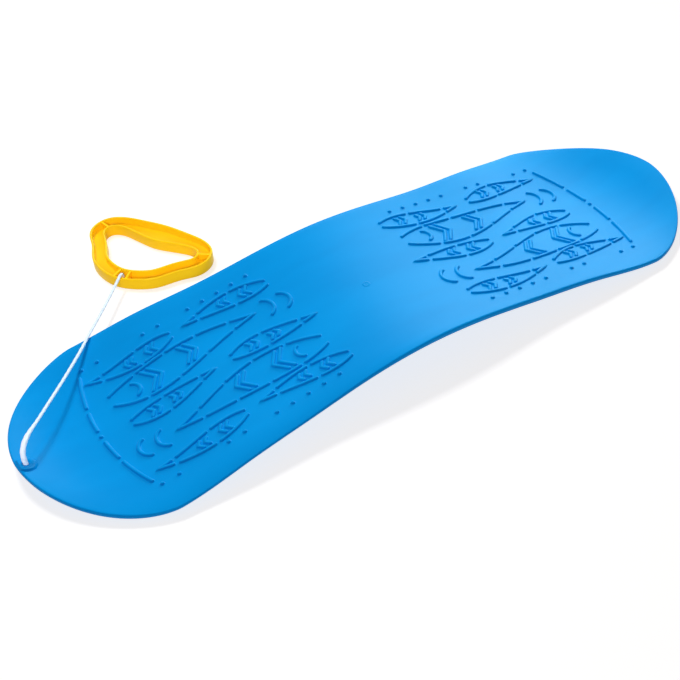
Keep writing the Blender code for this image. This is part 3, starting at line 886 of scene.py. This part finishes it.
def trefoil(name, centre, ring, tube, squeeze):
    """A tied knot as a tight three-lobed loop of the cord."""
    turns = np.linspace(0, 2 * math.pi, KNOT_POINTS)
    path = np.column_stack(
        [
            ring * (np.sin(turns) + 2 * np.sin(2 * turns)) / 3,
            ring * (np.cos(turns) - 2 * np.cos(2 * turns)) / 3,
            -squeeze * np.sin(3 * turns),
        ]
    )
    return braided_tube(name, path + centre, np.full(len(path), tube))


def build_cord(material):
    path = smooth_curve(CORD_ROUTE, ROUTE_STEPS)
    taper = 2 * ROUTE_STEPS
    share = np.clip((SPLICE_POINTS * ROUTE_STEPS - np.arange(len(path))) / taper, 0, 1)
    radii = CORD_RADIUS + CORD_FUZZ + share * (SPLICE_RADIUS - CORD_RADIUS)
    cord = braided_tube("braided_cord", path, radii)
    knots = []
    for knot_node, tube in (("nose_knot", NOSE_KNOT_TUBE), ("handle_knot", HANDLE_KNOT_TUBE)):
        low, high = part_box(knot_node)
        centre = (low + high) / 2
        size = high - low
        knot = trefoil("tied_" + knot_node, centre, size.x / 2 - tube, tube, size.z / 2 - tube)
        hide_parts(knot_node)
        knots.append(knot)
    for piece in [cord, *knots]:
        piece.data.materials.append(material)
        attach(piece, "board")
    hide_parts("pull_cord")


# Materials
def node(tree, kind, **inputs):
    """A new node, with its inputs linked to outputs or set to values."""
    made = tree.nodes.new(kind)
    for name, value in inputs.items():
        if hasattr(value, "is_output"):
            tree.links.new(value, made.inputs[name])
        else:
            made.inputs[name].default_value = value
    return made


def colour_ramp(tree, factor, stops):
    """The output of a ramp between two stops, each a position and a colour."""
    ramp = node(tree, "ShaderNodeValToRGB", Fac=factor)
    for element, (position, colour) in zip(ramp.color_ramp.elements, stops):
        element.position = position
        element.color = (*colour, 1)
    return ramp.outputs["Color"]


def plastic(name, colours, roughness, grain, gloss_level):
    """Moulded plastic: faint flow streaks and cloudiness in its colour, and a fine uneven gloss."""
    material = bpy.data.materials.new(name)
    material.use_nodes = True
    tree = material.node_tree
    shader = tree.nodes["Principled BSDF"]
    place = tree.nodes.new("ShaderNodeTexCoord").outputs["Object"]
    stretched = node(tree, "ShaderNodeMapping", Vector=place, Scale=(3.0, 11.0, 11.0)).outputs[0]
    clouds = node(tree, "ShaderNodeTexNoise", Vector=stretched, Scale=1.6, Detail=3.0, Roughness=0.55)
    colour = colour_ramp(tree, clouds.outputs["Fac"], zip((0.36, 0.62), colours))
    tree.links.new(colour, shader.inputs["Base Color"])
    fine = node(tree, "ShaderNodeTexNoise", Vector=place, Scale=grain, Detail=4.0, Roughness=0.6)
    gloss = node(tree, "ShaderNodeMapRange", Value=fine.outputs["Fac"])
    gloss.inputs["To Min"].default_value = roughness + ROUGHNESS_SPREAD[0]
    gloss.inputs["To Max"].default_value = roughness + ROUGHNESS_SPREAD[1]
    tree.links.new(gloss.outputs["Result"], shader.inputs["Roughness"])
    bump = node(tree, "ShaderNodeBump", Height=fine.outputs["Fac"], Strength=0.06, Distance=0.0002)
    tree.links.new(bump.outputs["Normal"], shader.inputs["Normal"])
    shader.inputs["Specular IOR Level"].default_value = gloss_level
    return material


def cord_material():
    """White fibre: its shade varies from thread to thread, and its surface is rough."""
    material = bpy.data.materials.new("cord_fibre")
    material.use_nodes = True
    tree = material.node_tree
    shader = tree.nodes["Principled BSDF"]
    place = tree.nodes.new("ShaderNodeTexCoord").outputs["Object"]
    weave = node(tree, "ShaderNodeTexNoise", Vector=place, Scale=1900.0, Detail=3.0, Roughness=0.6)
    colour = colour_ramp(tree, weave.outputs["Fac"], zip((0.30, 0.55), CORD_WHITES))
    tree.links.new(colour, shader.inputs["Base Color"])
    bump = node(tree, "ShaderNodeBump", Height=weave.outputs["Fac"], Strength=0.3, Distance=0.0002)
    tree.links.new(bump.outputs["Normal"], shader.inputs["Normal"])
    shader.inputs["Roughness"].default_value = 0.85
    shader.inputs["Specular IOR Level"].default_value = 0.2
    return material


# Stage
def as_seen(tree):
    """1 for the rays of the camera and those by which gloss and glass see, and 0 for the light on things."""
    path = tree.nodes.new("ShaderNodeLightPath")
    seen = path.outputs["Is Camera Ray"]
    for kind in ("Is Glossy Ray", "Is Transmission Ray"):
        either = tree.nodes.new("ShaderNodeMath")
        either.operation = "MAXIMUM"
        tree.links.new(seen, either.inputs[0])
        tree.links.new(path.outputs[kind], either.inputs[1])
        seen = either.outputs[0]
    return seen


def build_floor():
    """A pale floor that glows a little, so that it is white beyond the object's shadow."""
    corners = [(FLOOR_REACH * x, FLOOR_REACH * y, GROUND) for x, y in ((-1, -1), (1, -1), (1, 1), (-1, 1))]
    floor = new_object("floor", corners, number_rings(1, len(corners)), smooth=False)
    material = bpy.data.materials.new("floor_white")
    material.use_nodes = True
    tree = material.node_tree
    tree.nodes.clear()
    output = tree.nodes.new("ShaderNodeOutputMaterial")
    diffuse = node(tree, "ShaderNodeBsdfDiffuse", Color=FLOOR_GREY)
    strength = node(tree, "ShaderNodeMapRange", Value=as_seen(tree))
    strength.inputs["To Min"].default_value = FLOOR_GLOW_STRENGTHS[0]
    strength.inputs["To Max"].default_value = FLOOR_GLOW_STRENGTHS[1]
    glow = node(tree, "ShaderNodeEmission", Color=FLOOR_GLOW, Strength=strength.outputs["Result"])
    both = tree.nodes.new("ShaderNodeAddShader")
    tree.links.new(diffuse.outputs[0], both.inputs[0])
    tree.links.new(glow.outputs[0], both.inputs[1])
    tree.links.new(both.outputs[0], output.inputs["Surface"])
    floor.data.materials.append(material)


def build_world():
    world = bpy.data.worlds.new("studio")
    bpy.context.scene.world = world
    world.use_nodes = True
    tree = world.node_tree
    colour = colour_ramp(tree, as_seen(tree), zip((0, 1), WORLD_COLOURS))
    tree.links.new(colour, tree.nodes["Background"].inputs["Color"])


def area_light(name, place, aim, size, power, colour):
    light = bpy.data.lights.new(name, "AREA")
    light.shape = "RECTANGLE"
    light.size, light.size_y = size
    light.energy = power
    light.color = colour
    made = bpy.data.objects.new(name, light)
    made.location = place
    made.rotation_euler = (Vector(aim) - Vector(place)).to_track_quat("-Z", "Y").to_euler()
    bpy.context.scene.collection.objects.link(made)
    return made


def lit_only(light, pieces):
    """Let a light fall on these pieces alone, so that the floor's shadow stays that of the key."""
    lit = bpy.data.collections.new(light.name + "_pieces")
    for piece in pieces:
        lit.objects.link(piece)
    light.light_linking.receiver_collection = lit


def build_lights(pieces):
    lights = {name: area_light(name, *values) for name, values in LIGHTS.items()}
    lights["key"].visible_glossy = False
    lit_only(lights["sheen"], pieces)
    pull = [piece for piece in pieces if piece.name in ("grip_handle", "braided_cord")]
    lit_only(lights["pull_fill"], pull)


def build_camera():
    azimuth, elevation, roll = (math.radians(a) for a in (CAMERA_AZIMUTH, CAMERA_ELEVATION, CAMERA_ROLL))
    back = Vector(
        (
            math.sin(azimuth) * math.cos(elevation),
            -math.cos(azimuth) * math.cos(elevation),
            math.sin(elevation),
        )
    )
    level = Vector((math.cos(azimuth), math.sin(azimuth), 0))
    upright = back.cross(level)
    right = level * math.cos(roll) + upright * math.sin(roll)
    up = upright * math.cos(roll) - level * math.sin(roll)
    data = bpy.data.cameras.new("camera")
    data.lens = LENS
    data.sensor_width = SENSOR
    data.sensor_fit = "HORIZONTAL"
    camera = bpy.data.objects.new("camera", data)
    turn = Matrix((right, up, back)).transposed().to_4x4()
    camera.matrix_world = Matrix.Translation(CAMERA_AT) @ turn
    bpy.context.scene.collection.objects.link(camera)
    bpy.context.scene.camera = camera


build_camera()
build_cord(cord_material())
deck_plastic = plastic("deck_plastic", DECK_BLUES, roughness=0.32, grain=260.0, gloss_level=0.06)
handle_plastic = plastic("handle_plastic", HANDLE_YELLOWS, roughness=0.30, grain=300.0, gloss_level=0.08)
build_deck(deck_plastic)
build_handle(handle_plastic)
meshes = [thing for thing in bpy.context.scene.objects if thing.type == "MESH"]
object_pieces = [thing for thing in meshes if not thing.hide_render]
build_floor()
build_world()
build_lights(object_pieces)
bpy.context.scene.view_settings.view_transform = "Standard"
